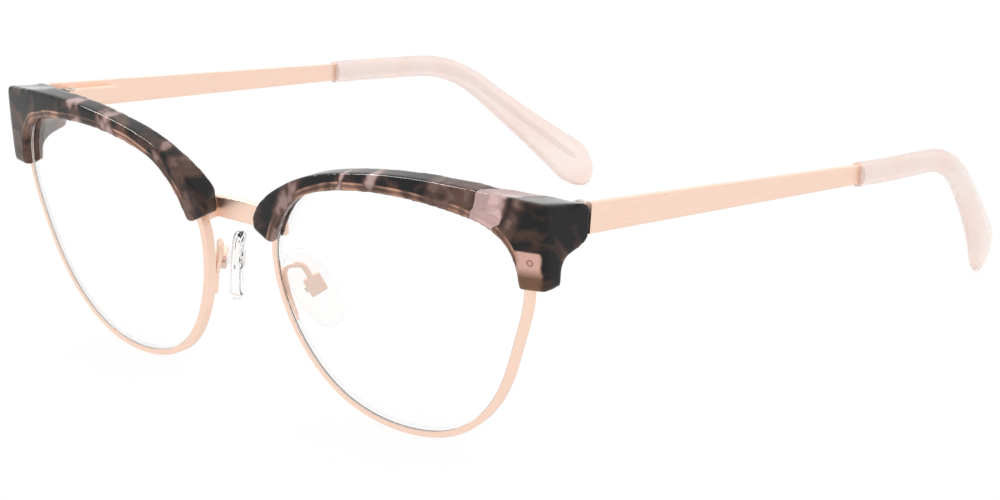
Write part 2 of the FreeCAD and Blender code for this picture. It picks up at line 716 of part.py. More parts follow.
def make_pad_arm():
    """Foot on the rim, bent wire and the box that holds the pad."""
    ring = outline_prism(HALF_RIM).cut(outline_prism(-HALF_RIM))
    ring = ring.common(view_box(-LENS_WIDTH, 0, FOOT_LOW, FOOT_HIGH))
    foot = placed(between(ring, HALF_DEPTH, HALF_DEPTH + FOOT_THICKNESS), LENS_PLACE)
    nasal_points = [point for point in outline_points(0, OUTLINE_SAMPLES) if point.x < 0]
    place = pad_placement()
    wide = PAD_BOX_WIDTH / 2
    tall = PAD_BOX_HEIGHT / 2
    mouth = PAD_BOX_DEPTH / 2 - PAD_BOX_WALL
    floor = mouth - PAD_BOX_DEPTH
    wall = PAD_BOX_WALL
    shell = box((-wide, -tall, floor), (wide, tall, mouth))
    uprights = [edge for edge in shell.Edges if abs(edge.Length - PAD_BOX_DEPTH) < TOUCH]
    shell = shell.makeFillet(PAD_BOX_ROUND, uprights)
    inside = box((wall - wide, wall - tall, floor + wall), (wide - wall, tall - wall, mouth))
    shell = placed(shell.cut(inside), place)
    end = place.multVec(Vector(0, tall - wall / 2, floor + ARM_RADIUS))
    loop = place.multVec(Vector(0, tall + ARM_RISE, floor + ARM_RADIUS))
    run = []
    for height in (FOOT_LOW + ARM_RADIUS, FOOT_HIGH):
        near = min(nasal_points, key=lambda point: abs(point.z - height))
        depth = base_depth(near.x, near.z) + HALF_DEPTH + FOOT_THICKNESS
        run.append(LENS_PLACE.multVec(Vector(near.x, depth, near.z)))
    slope = (run[1] - run[0]) / (run[1].z - run[0].z)
    rise = run[1] + slope * (loop.z - run[1].z) + Y_AXIS * ARM_SETBACK
    wire = bent_rod([run[0], run[1], rise, loop, end], ARM_RADIUS, ARM_BEND)
    back_of_rim = placed(base_ball(HALF_DEPTH), LENS_PLACE)
    arm = wire.common(back_of_rim).fuse([foot, shell]).removeSplitter()
    return arm.cut(make_pad_screw(PAD_SCREW_CLEARANCE))


# Hinge, about the pin's axis

def make_hinge_front():
    """Shank set in the end piece, with two knuckles round the pin."""
    shank = shank_room(0)
    inner = TONGUE_KNUCKLE / 2 + KNUCKLE_GAP
    pieces = []
    for low in (inner, -inner - FRONT_KNUCKLE):
        arm_low = (-KNUCKLE_RADIUS, SHANK_PROUD - HINGE_SETBACK, low)
        pieces.append(box(arm_low, (KNUCKLE_RADIUS, 0, low + FRONT_KNUCKLE)))
        pieces.append(cylinder(KNUCKLE_RADIUS, Z_AXIS * low, Z_AXIS, FRONT_KNUCKLE))
    hinge = shank.fuse(pieces).removeSplitter()
    return placed(hinge.cut(hinge_pin(PIN_CLEARANCE)), HINGE_PLACE)


def hinge_pin(growth):
    """Pin through all knuckles, grown for its holes."""
    return cylinder(PIN_RADIUS + growth, Z_AXIS * -KNUCKLE_TOP, Z_AXIS, 2 * KNUCKLE_TOP)


def make_hinge_screw():
    """Hinge screw with a slotted head on top."""
    head = cylinder(PIN_HEAD_RADIUS, Z_AXIS * KNUCKLE_TOP, Z_AXIS, PIN_HEAD_HEIGHT)
    high = KNUCKLE_TOP + PIN_HEAD_HEIGHT
    slot_half = PIN_SLOT_WIDTH / 2
    slot = box((-PIN_RADIUS, -slot_half, high - PIN_HEAD_HEIGHT / 2), (PIN_RADIUS, slot_half, high))
    screw = hinge_pin(0).fuse(head).removeSplitter().cut(slot)
    return placed(screw, HINGE_PLACE)


# Spring case and temple, in a frame that lies along the temple

def make_spring_tongue():
    """Middle knuckle on a rod with a head, which the spring pulls into the case."""
    half = TONGUE_KNUCKLE / 2
    knuckle = cylinder(KNUCKLE_RADIUS, Z_AXIS * -half, Z_AXIS, TONGUE_KNUCKLE)
    knuckle = placed(knuckle, HINGE_PLACE)
    tall = NECK_HEIGHT / 2
    rod_x = CASE_X - PIVOT_X
    neck = box((0, NECK_FRONT, -tall), (rod_x + ROD_RADIUS, NECK_REAR, tall))
    rod_start = Vector(rod_x, NECK_REAR / 2, 0)
    rod_end = CASE_START + ROD_LENGTH
    rod = cylinder(ROD_RADIUS, rod_start, Y_AXIS, rod_end - rod_start.y)
    head_start = Vector(rod_x, rod_end - TONGUE_HEAD_LENGTH, 0)
    head = cylinder(TONGUE_HEAD_RADIUS, head_start, Y_AXIS, TONGUE_HEAD_LENGTH)
    straight = placed(rod.fuse(head).removeSplitter(), TEMPLE_PLACE)
    tongue = knuckle.fuse([placed(neck, HINGE_PLACE), straight]).removeSplitter()
    return tongue.cut(placed(hinge_pin(PIN_CLEARANCE), HINGE_PLACE))


def make_spring_collar():
    """Bush in the mouth of the case, round the tongue's rod."""
    start = Vector(CASE_X - PIVOT_X, CASE_START + COLLAR_FLOOR, 0)
    collar = cylinder(BORE_RADIUS, start, Y_AXIS, COLLAR_LENGTH)
    hole = cylinder(ROD_RADIUS + ROD_CLEARANCE, start, Y_AXIS, COLLAR_LENGTH)
    return placed(collar.cut(hole), TEMPLE_PLACE)


def make_hinge_spring():
    """Compression spring of square wire between the collar and the tongue's head."""
    start = CASE_START + COLLAR_FLOOR + COLLAR_LENGTH + SPRING_SLACK + SPRING_WIRE / 2
    end = CASE_START + ROD_LENGTH - TONGUE_HEAD_LENGTH - SPRING_SLACK - SPRING_WIRE / 2
    pitch = (end - start) / SPRING_TURNS
    half = SPRING_WIRE / 2
    sections = []
    for index in range(SPRING_TURNS * SPRING_STEPS + 1):
        turns = index / SPRING_STEPS
        outward = FreeCAD.Rotation(Z_AXIS, 360 * turns).multVec(X_AXIS)
        middle = outward * SPRING_RADIUS + Z_AXIS * (pitch * turns)
        corners = []
        for across, up in ((1, 1), (1, -1), (-1, -1), (-1, 1)):
            corners.append(middle + outward * (half * across) + Z_AXIS * (half * up))
        sections.append(Part.makePolygon(corners + corners[:1]))
    spring = Part.makeLoft(sections, True, True)
    along = FreeCAD.Placement(Vector(CASE_X - PIVOT_X, start, 0), FreeCAD.Rotation(X_AXIS, -90))
    return placed(placed(spring, along), TEMPLE_PLACE)


def make_spring_case():
    """Rounded case on the temple's inner face, bored for the spring."""
    tall = CASE_HEIGHT / 2
    inner = BAR_INNER_X - CASE_THICKNESS - PIVOT_X
    rear = CASE_START + CASE_LENGTH - tall
    low_front = Vector(inner, CASE_START, -tall)
    low_rear = Vector(inner, rear, -tall)
    tail = Vector(inner, rear + tall, 0)
    high_rear = Vector(inner, rear, tall)
    high_front = Vector(inner, CASE_START, tall)
    edges = [Part.makeLine(low_front, low_rear), Part.Arc(low_rear, tail, high_rear).toShape()]
    edges += [Part.makeLine(high_rear, high_front), Part.makeLine(high_front, low_front)]
    case = Part.Face(Part.Wire(edges)).extrude(X_AXIS * CASE_THICKNESS)
    soft = [edge for edge in case.Edges if abs(edge.BoundBox.XMax - inner) < TOUCH]
    soft = [edge for edge in soft if edge.BoundBox.YMax > CASE_START + tall]
    case = case.makeFillet(CASE_EDGE_RADIUS, soft)
    mouth = Vector(CASE_X - PIVOT_X, CASE_START, 0)
    case = case.cut(cylinder(ROD_RADIUS + 2 * ROD_CLEARANCE, mouth, Y_AXIS, COLLAR_FLOOR))
    bore_start = mouth + Y_AXIS * COLLAR_FLOOR
    return placed(case.cut(cylinder(BORE_RADIUS, bore_start, Y_AXIS, BORE_LENGTH)), TEMPLE_PLACE)


def temple_point(run):
    """Middle of the temple and its two turns after a run from the hinge axis."""
    turn = math.radians(EAR_BEND_ANGLE)
    start = bend_start()
    arc = EAR_BEND_RADIUS * turn
    down = min(max((run - start) / EAR_BEND_RADIUS, 0), turn)
    y = min(run, start) + EAR_BEND_RADIUS * math.sin(down)
    z = EAR_BEND_RADIUS * (math.cos(down) - 1)
    beyond = max(run - start - arc, 0)
    y += beyond * math.cos(turn)
    z -= beyond * math.sin(turn)
    inward_run = max(run - start + INWARD_LEAD, 0)
    inward = inward_run / INWARD_RADIUS
    x = SIDE_X - BAR_THICKNESS / 2 - PIVOT_X - INWARD_RADIUS * (1 - math.cos(inward))
    return Vector(x, y, z), down, inward


def oval_section(run, height, thickness, drop):
    """Oval across the temple after a run from the hinge axis."""
    centre, down, inward = temple_point(run)
    tall = Vector(0, math.sin(down), math.cos(down))
    along = Vector(0, math.cos(down), -math.sin(down))
    side = X_AXIS * math.cos(inward) + along * math.sin(inward)
    middle = centre - tall * drop
    oval = Part.Ellipse(middle + tall * (height / 2), middle + side * (thickness / 2), middle)
    return Part.Wire(oval.toShape())


def bend_start():
    """Run from the hinge axis to the start of the bend behind the ear."""
    return EAR_BEND_AT - EAR_BEND_RADIUS * math.tan(math.radians(EAR_BEND_ANGLE) / 2)


def temple_run():
    """Run from the hinge axis to the end of the tip, along its middle line."""
    turn = math.radians(EAR_BEND_ANGLE)
    saved = 2 * EAR_BEND_RADIUS * math.tan(turn / 2) - EAR_BEND_RADIUS * turn
    return TEMPLE_LENGTH + BAR_START - saved


def even_runs(start, end, steps):
    """Evenly spaced runs for sections along the temple."""
    return [start + (end - start) * index / steps for index in range(steps + 1)]


def core_loft(growth):
    """Core wire inside the tip, grown for its bore."""
    end = temple_run() - CORE_END_GAP + growth
    start = BAR_END - BAR_THICKNESS
    sections = []
    for run in even_runs(start, end, CORE_STEPS):
        share = (run - start) / (end - start)
        height = CORE_FRONT_HEIGHT + (CORE_REAR_HEIGHT - CORE_FRONT_HEIGHT) * share
        sections.append(oval_section(run, height + 2 * growth, CORE_THICKNESS + 2 * growth, 0))
    return Part.makeLoft(sections, True, True)


def make_temple_bar():
    """Flat tapered bar, with the core wire that carries the tip."""
    front = BAR_FRONT_HEIGHT / 2
    rear = BAR_REAR_HEIGHT / 2
    inner = BAR_INNER_X - PIVOT_X
    side = [
        Vector(inner, BAR_START, -front),
        Vector(inner, BAR_END, -rear),
        Vector(inner, BAR_END, rear),
        Vector(inner, BAR_START, front),
    ]
    bar = polygon_prism(side, X_AXIS * BAR_THICKNESS)
    outer = inner + BAR_THICKNESS
    long_edges = [edge for edge in bar.Edges if edge.Length > BAR_LENGTH / 2]
    long_edges = [edge for edge in long_edges if abs(edge.BoundBox.XMin - outer) < TOUCH]
    bar = bar.makeFillet(BAR_EDGE_RADIUS, long_edges)
    return placed(bar.fuse(core_loft(0)).removeSplitter(), TEMPLE_PLACE)


def make_temple_tip():
    """Acetate tip that bends down behind the ear and widens into a paddle."""
    paddle_end = temple_run() - PADDLE_ROUND
    start = bend_start()
    sections = []
    for run in even_runs(BAR_END + TIP_GAP, paddle_end, TIP_STEPS):
        share = max(run - start, 0) / (paddle_end - start)
        grow = share ** PADDLE_SPREAD
        height = TIP_HEIGHT + (PADDLE_HEIGHT - TIP_HEIGHT) * grow
        thickness = TIP_THICKNESS + (TIP_END_THICKNESS - TIP_THICKNESS) * share
        sections.append(oval_section(run, height, thickness, PADDLE_DROP * grow))
    for step in range(1, PADDLE_END_STEPS):
        angle = math.radians(90 * step / PADDLE_END_STEPS)
        share = math.cos(angle)
        run = paddle_end + PADDLE_ROUND * math.sin(angle)
        drop = PADDLE_DROP * (2 - share)
        sections.append(oval_section(run, PADDLE_HEIGHT * share, TIP_END_THICKNESS * share, drop))
    tip = Part.makeLoft(sections, True, True)
    return placed(tip.cut(core_loft(CORE_CLEARANCE)), TEMPLE_PLACE)


# Whole part

def side_parts():
    """Pieces of the wearer's left side, by name."""
    return {
        "brow": placed(make_brow(), LENS_PLACE),
        "rim": placed(make_rim(), LENS_PLACE),
        "lens": placed(make_lens(), LENS_PLACE),
        "rim_screw": placed(make_rim_screw(0), LENS_PLACE),
        "brow_screw": placed(make_brow_screw(0), LENS_PLACE),
        "pad_arm": make_pad_arm(),
        "pad_screw": make_pad_screw(0),
        "pad_core": make_pad_core(),
        "nose_pad": make_nose_pad(),
        "hinge_front": make_hinge_front(),
        "hinge_screw": make_hinge_screw(),
        "spring_tongue": make_spring_tongue(),
        "spring_collar": make_spring_collar(),
        "hinge_spring": make_hinge_spring(),
        "spring_case": make_spring_case(),
        "temple_bar": make_temple_bar(),
        "temple_tip": make_temple_tip(),
    }


def rest_placement(parts):
    """Place on the table: rims and temple tips touch it, centred front to back."""
    rim = parts["left_rim"].tessellate(MESH_STEP)[0]
    tip = parts["left_temple_tip"].tessellate(MESH_STEP)[0]
    angle = 0.0
    for _ in range(5):
        turn = FreeCAD.Rotation(X_AXIS, math.degrees(angle))
        rim_low = min(rim, key=lambda point: turn.multVec(point).z)
        tip_low = min(tip, key=lambda point: turn.multVec(point).z)
        angle = math.atan2(rim_low.z - tip_low.z, tip_low.y - rim_low.y)
    turn = FreeCAD.Rotation(X_AXIS, math.degrees(angle))
    lying = placed(Part.makeCompound(list(parts.values())), FreeCAD.Placement(ORIGIN, turn))
    room = lying.optimalBoundingBox(False, False)
    return FreeCAD.Placement(Vector(0, -(room.YMin + room.YMax) / 2, -room.ZMin), turn)


def build():
    """All nodes of the part, lying on the table."""
    parts = {"bridge": make_bridge()}
    for name, shape in side_parts().items():
        parts["left_" + name] = shape
        parts["right_" + name] = shape.mirror(ORIGIN, X_AXIS)
    place = rest_placement(parts)
    return {name: placed(shape, place) for name, shape in parts.items()}, place


def main():
    """Write one file for each node."""
    os.makedirs("parts", exist_ok=True)
    parts, place = build()
    for name, shape in sorted(parts.items()):
        shape.exportStep(os.path.join("parts", name + ".step"))
        print(name, len(shape.Solids), shape.isValid(), round(shape.Volume, 2))
    print("rest tilt", round(place.Rotation.Angle * 180 / math.pi, 3))


main()
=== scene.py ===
"""Dresses a pair of browline glasses: acetate brows over metal rims, sprung metal temples, acetate tips."""

import json
import logging
import math
from dataclasses import dataclass
from enum import Enum
from typing import Callable

import bpy
from mathutils import Matrix, Vector
from mathutils.bvhtree import BVHTree


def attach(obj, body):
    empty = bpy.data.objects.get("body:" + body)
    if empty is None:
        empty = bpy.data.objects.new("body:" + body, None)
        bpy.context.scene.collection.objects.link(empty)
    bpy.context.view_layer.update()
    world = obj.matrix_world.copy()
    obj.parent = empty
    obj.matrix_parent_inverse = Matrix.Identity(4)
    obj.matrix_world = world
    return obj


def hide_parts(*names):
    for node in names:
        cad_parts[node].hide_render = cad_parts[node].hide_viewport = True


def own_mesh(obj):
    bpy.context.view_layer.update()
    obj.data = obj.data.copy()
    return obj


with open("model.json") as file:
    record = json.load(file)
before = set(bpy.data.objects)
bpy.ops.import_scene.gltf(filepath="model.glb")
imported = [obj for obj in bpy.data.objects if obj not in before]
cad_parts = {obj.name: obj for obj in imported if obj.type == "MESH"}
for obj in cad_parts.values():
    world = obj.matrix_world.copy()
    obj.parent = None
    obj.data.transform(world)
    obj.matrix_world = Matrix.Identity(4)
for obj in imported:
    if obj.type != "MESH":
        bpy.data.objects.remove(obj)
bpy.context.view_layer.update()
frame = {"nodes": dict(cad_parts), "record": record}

LOG = logging.getLogger("browline_glasses")
MM = 0.001
MERGE_MM = 0.002

Tree = bpy.types.NodeTree
Socket = bpy.types.NodeSocket
Span = tuple[float, float]
Point = tuple[float, float, float]
Colour = tuple[float, float, float, float]
Stops = list[tuple[float, Colour]]
Share = Callable[[Vector], float]

UNIT: Span = (0.0, 1.0)
NOISE_MIDDLE = 0.5
WHITE = "#ffffff"


class Side(Enum):
    """The wearer's side that a piece belongs to."""

    LEFT = "left"
    RIGHT = "right"

    def piece(self, name: str) -> str:
        """Returns the name of this side's piece."""
        return f"{self.value}_{name}"


class Tone(Enum):
    """How pale a block of the laminated acetate is: 0 is charcoal, and well past 1 dark specks fade too."""

    ROSE = 3.0
    HAZE = 0.65
    SMOKE = 0.4
    FAINT = 0.24


def linear(code: str) -> Colour:
    """Turns an sRGB hex colour into the linear colour that shaders take.

    Args:
        code: The colour as six hex digits after a hash.

    Returns:
        Linear red, green and blue, and an alpha of 1.
    """
    channels = (int(code[spot:spot + 2], 16) / 255 for spot in (1, 3, 5))
    red, green, blue = (c / 12.92 if c <= 0.04045 else ((c + 0.055) / 1.055) ** 2.4 for c in channels)
    return red, green, blue, 1.0


def grey(level: float) -> Colour:
    """Returns a linear grey of this level."""
    return level, level, level, 1.0


def per_metre(size_mm: float) -> float:
    """Returns the texture scale at which one feature of a pattern spans this many millimetres."""
    return 1.0 / (size_mm * MM)


def in_metres(span_mm: Span) -> Span:
    """Returns a span of millimetres in metres."""
    return span_mm[0] * MM, span_mm[1] * MM


def add_node(tree: Tree, kind: str, inputs: dict[str | int, object], **settings: object) -> bpy.types.Node:
    """Adds one node with its settings, and fills or links its inputs.

    Args:
        tree: The node tree that takes the node.
        kind: The node's type name.
        inputs: A value or an output socket for each input, by name or place.
        **settings: The node's own properties.

    Returns:
        The new node.
    """
    node = tree.nodes.new(kind)
    for name, value in settings.items():
        setattr(node, name, value)
    for place, value in inputs.items():
        if isinstance(value, bpy.types.NodeSocket):
            tree.links.new(value, node.inputs[place])
        else:
            node.inputs[place].default_value = value
    return node


def calculate(tree: Tree, operation: str, *values: Socket | float) -> Socket:
    """Adds a calculation with one, two or three values.

    Args:
        tree: The node tree that takes the node.
        operation: What is done with the values.
        *values: A number or an output socket for each input, in order.

    Returns:
        The socket that carries the result.
    """
    return add_node(tree, "ShaderNodeMath", dict(enumerate(values)), operation=operation).outputs[0]


def rescale(tree: Tree, value: Socket, start: Span = UNIT, end: Span = UNIT, soft: bool = False) -> Socket:
    """Turns one span of values into another, and clamps what lies outside it.

    Args:
        tree: The node tree that takes the node.
        value: The value to turn.
        start: The span that it comes from.
        end: The span that it goes to.
        soft: Whether both ends are eased.

    Returns:
        The socket that carries the result.
    """
    inputs = {"Value": value, "From Min": start[0], "From Max": start[1], "To Min": end[0], "To Max": end[1]}
    kind = "SMOOTHSTEP" if soft else "LINEAR"
    return add_node(tree, "ShaderNodeMapRange", inputs, interpolation_type=kind).outputs[0]


def noise(tree: Tree, where: Socket, size_mm: float, detail: float, distortion: float = 0.0) -> Socket:
    """Adds a cloudy pattern.

    Args:
        tree: The node tree that takes the node.
        where: The place on the piece.
        size_mm: How wide a feature of the pattern is.
        detail: How many finer layers it has.
        distortion: How much it swirls.

    Returns:
        The socket that carries the pattern's level.
    """
    inputs = {"Vector": where, "Scale": per_metre(size_mm), "Detail": detail, "Distortion": distortion}
    return add_node(tree, "ShaderNodeTexNoise", inputs).outputs["Fac"]


def blend(tree: Tree, share: Socket, first: Socket | Colour, second: Socket | Colour) -> Socket:
    """Mixes two colours.

    Args:
        tree: The node tree that takes the node.
        share: How much of the second colour shows.
        first: The first colour.
        second: The second colour.

    Returns:
        The socket that carries the mixed colour.
    """
    inputs = {"Factor": share, 6: first, 7: second}
    return add_node(tree, "ShaderNodeMix", inputs, data_type="RGBA").outputs[2]


def ramp(tree: Tree, value: Socket, stops: Stops, eased: bool = False) -> Socket:
    """Colours a value by a row of stops.

    Args:
        tree: The node tree that takes the node.
        value: The value to colour.
        stops: Place and colour of each stop, in rising order.
        eased: Whether the colour eases from stop to stop.

    Returns:
        The socket that carries the colour.
    """
    node = add_node(tree, "ShaderNodeValToRGB", {"Fac": value})
    node.color_ramp.interpolation = "EASE" if eased else "LINEAR"
    elements = node.color_ramp.elements
    while len(elements) < len(stops):
        elements.new(1.0)
    for element, (place, colour) in zip(elements, stops):
        element.position = place
        element.color = colour
    return node.outputs["Color"]


def relief(tree: Tree, height: Socket, strength: float, depth_mm: float) -> Socket:
    """Adds a fine relief to the surface.

    Args:
        tree: The node tree that takes the node.
        height: The relief's pattern.
        strength: How much of it shows.
        depth_mm: How deep it is.

    Returns:
        The socket that carries the surface's direction.
    """
    inputs = {"Height": height, "Strength": strength, "Distance": depth_mm * MM}
    return add_node(tree, "ShaderNodeBump", inputs).outputs[0]


def distance_from(tree: Tree, out: Socket, up: Socket, spot_mm: Span) -> tuple[Socket, Socket, Socket]:
    """Measures from a spot in the front view.

    Args:
        tree: The node tree that takes the nodes.
        out: Distance from the middle of the front.
        up: Height above the table.
        spot_mm: The spot's distance from the middle and its height.

    Returns:
        The sockets that carry the distance outwards, the distance up and the straight distance, in metres.
    """
    across = calculate(tree, "SUBTRACT", out, spot_mm[0] * MM)
    height = calculate(tree, "SUBTRACT", up, spot_mm[1] * MM)
    both = add_node(tree, "ShaderNodeCombineXYZ", {"X": across, "Z": height})
    straight = add_node(tree, "ShaderNodeVectorMath", {0: both.outputs[0]}, operation="LENGTH")
    return across, height, straight.outputs["Value"]


def object_place(tree: Tree) -> Socket:
    """Adds the socket that carries the place on the piece."""
    return add_node(tree, "ShaderNodeTexCoord", {}).outputs["Object"]


def new_material(name: str) -> tuple[bpy.types.Material, Tree]:
    """Makes an empty node material.

    Args:
        name: The finish's name.

    Returns:
        The material and its empty node tree.
    """
    material = bpy.data.materials.new(name)
    material.use_nodes = True
    material.node_tree.nodes.clear()
    return material, material.node_tree


def close_material(tree: Tree, shader: Socket) -> None:
    """Links a shader to the material's output."""
    add_node(tree, "ShaderNodeOutputMaterial", {"Surface": shader})


def close_principled(tree: Tree, inputs: dict[str | int, object]) -> None:
    """Ends a material with a principled shader that has these inputs."""
    close_material(tree, add_node(tree, "ShaderNodeBsdfPrincipled", inputs).outputs[0])


@dataclass(frozen=True)
class ColourBlock:
    """One paler block in the laminated sheet, by its distance from the front's middle, in millimetres."""

    middle: float
    width: float
    tone: Tone


@dataclass(frozen=True)
class TortoiseAcetate:
    """Laminated cellulose acetate, milled and tumble-polished.

    Sheets of rose, brown and charcoal are pressed into one block, so pale and dark patches with soft edges
    cross the brow. Thin bright coppery lines along the lens are a painted glint: the rim's sheen seen through
    the acetate, painted into the colour. The rim's closing block shows through the paler leg. Tumbling leaves
    a wet gloss.
    """

    name: str
    blocks: tuple[ColourBlock, ...]
    charcoal: str = "#0e0b0c"
    brown: str = "#5b3f33"
    mauve: str = "#5f443b"
    rose: str = "#e4c1bd"
    blush: str = "#efbfae"
    # The next colour is the painted glint's: bright coppery lines along the lens.
    painted_glint_copper: str = "#cf9c84"
    amber: str = "#80593f"
    ior: float = 1.47
    gloss: float = 0.3
    roughness: float = 0.04
    block_clearness: float = 0.5
    leg_clearness: float = 0.4
    reach_mm: float = 66.0
    level_mm: float = 42.0
    edge_mm: float = 0.8
    slant: float = 0.35
    wander_mm: float = 1.5
    smoke_mm: float = 4.0
    swirl_mm: float = 6.8
    swirl: float = 0.8
    brown_levels: Span = (0.48, 0.7)
    chip_mm: float = 2.4
    chip_levels: Span = (0.36, 0.6)
    chip_shares: Span = (0.2, 1.0)
    tint_levels: Span = (0.2, 0.8)
    cover_level: float = 0.25
    wave_mm: float = 7.0
    wave_depth_mm: float = 0.02
    wave_strength: float = 0.3
    lens_middle_mm: Span = (33.5, 21.5)
    rim_turn: float = 1.92
    rim_reach_mm: tuple[Span, ...] = (
        (0.045, 21.6), (0.18, 26.4), (0.25, 27.5), (0.318, 25.0), (0.41, 21.6), (0.523, 20.5), (0.636, 22.1),
        (0.773, 25.1), (0.864, 25.3), (0.932, 24.4))
    # The band, and the places and strengths of the painted glint's lines, outward from the rim's middle line.
    rim_band_mm: Span = (-1.0, 2.0)
    painted_glint_lines: tuple[Span, ...] = (
        (0.08, 0.55), (0.15, 0.95), (0.22, 0.35), (0.36, 0.3), (0.42, 1.0), (0.46, 1.0), (0.52, 0.0))
    # How the smoke breaks up the painted glint, and where and how far it fades onto the leg.
    broken_levels: Span = (0.38, 0.58)
    broken_shares: Span = (0.15, 0.85)
    leg_start_mm: Span = (52.0, 57.0)
    leg_painted_glint: float = 1.0
    leg_strength: float = 1.0
    leg_mm: Span = (58.0, 61.4)
    leg_edge_mm: float = 0.4
    leg_top_mm: float = 35.6
    leg_low_mm: float = 32.6
    leg_fade_mm: float = 0.8
    screw_mm: Span = (60.0, 34.2)
    screw_ring_mm: float = 0.42
    screw_ring_width_mm: float = 0.16
    screw_ring_share: float = 0.55

    def paleness_stops(self) -> Stops:
        """Works out the ramp along the brow that rises to each paler block and falls after it.

        Returns:
            Place and grey level of each stop.
        """
        stops = []
        for block in sorted(self.blocks, key=lambda b: b.middle):
            low, high = block.middle - block.width / 2, block.middle + block.width / 2
            edge = min(self.edge_mm, block.width / 3)
            levels = (0.0, block.tone.value, block.tone.value, 0.0)
            for place, level in zip((low - edge, low + edge, high - edge, high + edge), levels):
                stops.append((place / self.reach_mm, grey(level)))
        return stops

    def block_share(self, tree: Tree, where: Socket, moved: Socket, up: Socket) -> Socket:
        """Adds the paler blocks, which lean across the brow and hold darker chips.

        Args:
            tree: The node tree that takes the nodes.
            where: The place on the piece.
            moved: Distance from the middle of the front, with a wandering edge.
            up: Height above the table.

        Returns:
            The socket that carries the paleness.
        """
        slanted = calculate(tree, "MULTIPLY_ADD", up, -self.slant, moved)
        level = self.level_mm * MM * self.slant
        along = rescale(tree, slanted, (-level, self.reach_mm * MM - level))
        pale = ramp(tree, along, self.paleness_stops(), eased=True)
        chips = noise(tree, where, self.chip_mm, detail=1.0)
        mottle = rescale(tree, chips, self.chip_levels, self.chip_shares)
        return calculate(tree, "MULTIPLY", pale, mottle)

    def from_rim(self, tree: Tree, out: Socket, up: Socket) -> Socket:
        """Adds the distance outwards from the rim's middle line in the front view.

        Args:
            tree: The node tree that takes the nodes.
            out: Distance from the middle of the front.
            up: Height above the table.

        Returns:
            The socket that carries the distance in millimetres.
        """
        across, height, straight = distance_from(tree, out, up, self.lens_middle_mm)
        turn = calculate(tree, "ARCTAN2", calculate(tree, "MULTIPLY", across, -1.0), height)
        place = rescale(tree, turn, (-self.rim_turn, self.rim_turn))
        curve = add_node(tree, "ShaderNodeFloatCurve", {"Value": place})
        points = curve.mapping.curves[0].points
        ready = len(points)
        farthest = max(reach for _, reach in self.rim_reach_mm)
        for index, (spot, reach) in enumerate(self.rim_reach_mm):
            if index < ready:
                points[index].location = (spot, reach / farthest)
            else:
                points.new(spot, reach / farthest)
        curve.mapping.update()
        in_mm = calculate(tree, "MULTIPLY", straight, 1.0 / MM)
        return calculate(tree, "MULTIPLY_ADD", curve.outputs[0], -farthest, in_mm)

    def painted_rim_glint(self, tree: Tree, out: Socket, up: Socket, smoke: Socket) -> Socket:
        """Adds the painted glint: thin bright coppery lines where the rim's sheen shows through, broken up by
        the smoke.

        Args:
            tree: The node tree that takes the nodes.
            out: Distance from the middle of the front.
            up: Height above the table.
            smoke: The smoky pattern of the dark sheet.

        Returns:
            The socket that carries the painted glint's strength.
        """
        place = rescale(tree, self.from_rim(tree, out, up), self.rim_band_mm)
        band = ramp(tree, place, [(spot, grey(share)) for spot, share in self.painted_glint_lines])
        broken = rescale(tree, smoke, self.broken_levels, self.broken_shares)
        lines = calculate(tree, "MULTIPLY", band, broken)
        shown = rescale(tree, out, in_metres(self.leg_start_mm), (1.0, self.leg_painted_glint))
        return calculate(tree, "MULTIPLY", lines, shown)

    def leg_share(self, tree: Tree, moved: Socket, up: Socket) -> Socket:
        """Adds the pale patch over the rim's closing block.

        Args:
            tree: The node tree that takes the nodes.
            moved: Distance from the middle of the front, with a wandering edge.
            up: Height above the table.

        Returns:
            The socket that carries the patch's strength.
        """
        low, high = in_metres(self.leg_mm)
        edge, top = in_metres((self.leg_edge_mm, self.leg_top_mm))
        starts = rescale(tree, moved, (low - edge, low + edge), soft=True)
        ends = rescale(tree, moved, (high + edge, high - edge), soft=True)
        below = rescale(tree, up, (top + edge, top), soft=True)
        patch = calculate(tree, "MULTIPLY", calculate(tree, "MULTIPLY", starts, ends), below)
        return calculate(tree, "MULTIPLY", patch, self.leg_strength)

    def leg_colour(self, tree: Tree, out: Socket, up: Socket) -> Socket:
        """Adds the leg's colour: blush over amber, with the ring of the brow's screw hole.

        Args:
            tree: The node tree that takes the nodes.
            out: Distance from the middle of the front.
            up: Height above the table.

        Returns:
            The socket that carries the colour.
        """
        low, fade = self.leg_low_mm, self.leg_fade_mm
        height = rescale(tree, up, ((low - fade) * MM, (low + fade) * MM))
        block = blend(tree, height, linear(self.amber), linear(self.blush))
        straight = distance_from(tree, out, up, self.screw_mm)[2]
        ring = calculate(tree, "COMPARE", straight, self.screw_ring_mm * MM, self.screw_ring_width_mm * MM)
        share = calculate(tree, "MULTIPLY", ring, self.screw_ring_share)
        return blend(tree, share, block, linear(self.mauve))

